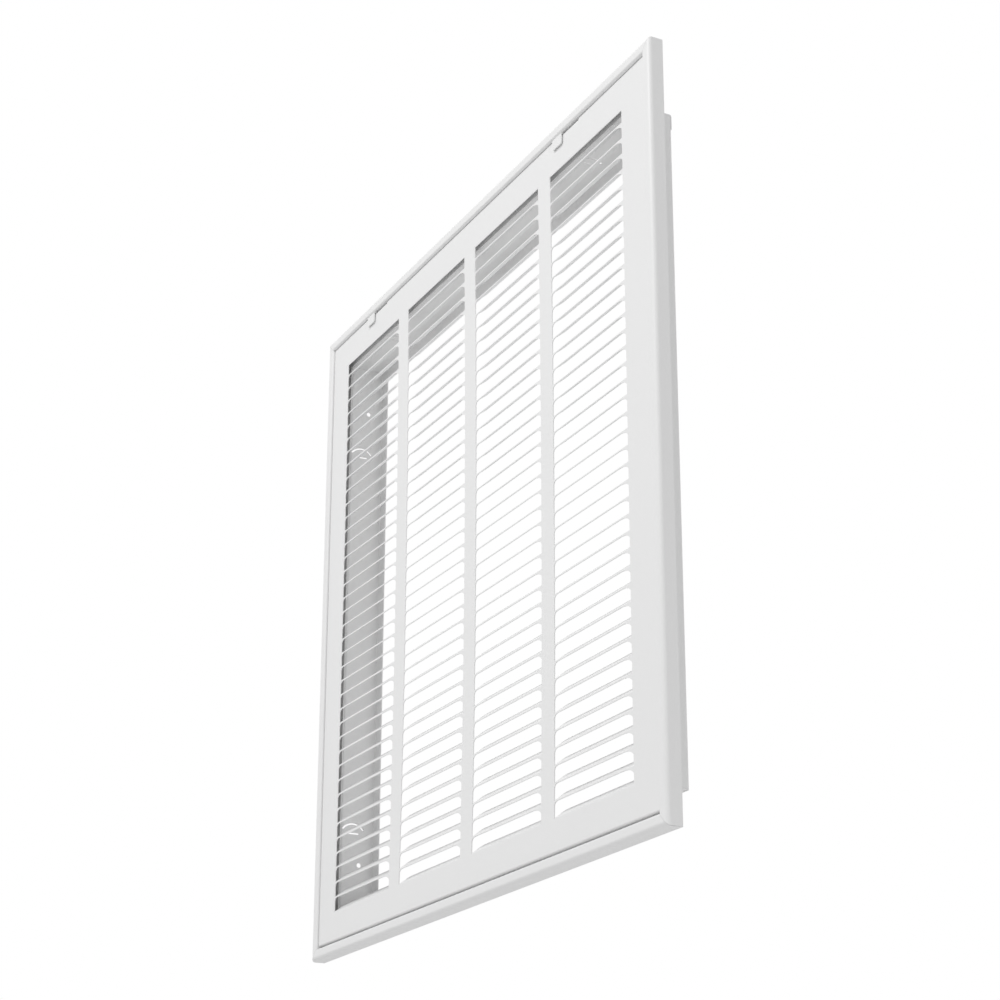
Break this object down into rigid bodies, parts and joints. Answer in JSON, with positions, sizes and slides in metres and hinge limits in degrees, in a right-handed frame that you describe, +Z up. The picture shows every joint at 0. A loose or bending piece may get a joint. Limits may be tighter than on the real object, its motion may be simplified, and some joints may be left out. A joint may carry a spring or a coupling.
{
  "type": "return air filter grille",
  "caption": "Square white steel return air grille with a flanged frame, a filter collar behind it, and a bottom-hinged louvred door held by sliding thumb latches.",
  "frame": {"origin": "centre of the plane in which the flange meets the wall, in the middle of the wall opening", "axes": "+X is to the right seen from the room, +Y goes into the wall (the duct side), +Z is up; the rim and the door face the room at -Y"},
  "size_m": [0.575, 0.04, 0.575],
  "materials": {
    "frame_paint": "white satin powder coat",
    "collar_paint": "white satin powder coat",
    "door_paint": "white satin powder coat",
    "bare_steel": "zinc-plated steel pin"
  },
  "bodies": {
    "frame": {"rail_top": "frame_paint", "rail_right": "frame_paint", "rail_bottom": "frame_paint", "rail_left": "frame_paint", "collar_top": "collar_paint", "collar_right": "collar_paint", "collar_bottom": "collar_paint", "collar_left": "collar_paint", "hinge_pin_left": "bare_steel", "hinge_pin_right": "bare_steel"},
    "door": {"door_panel": "door_paint", "latch_studs_left": "door_paint", "latch_studs_right": "door_paint"},
    "latch_left": {"latch_slider_left": "door_paint"},
    "latch_right": {"latch_slider_right": "door_paint"}
  },
  "joints": [
    {"name": "door_hinge", "type": "hinge", "parent": "frame", "child": "door", "pos_m": [0, -0.0078, -0.2735], "axis": [1, 0, 0], "range_deg": [0, 100]},
    {"name": "latch_left_slide", "type": "slide", "parent": "door", "child": "latch_left", "axis": [1, 0, 0], "range_m": [0, 0.024]},
    {"name": "latch_right_slide", "type": "slide", "parent": "door", "child": "latch_right", "axis": [1, 0, 0], "range_m": [0, 0.024]}
  ]
}
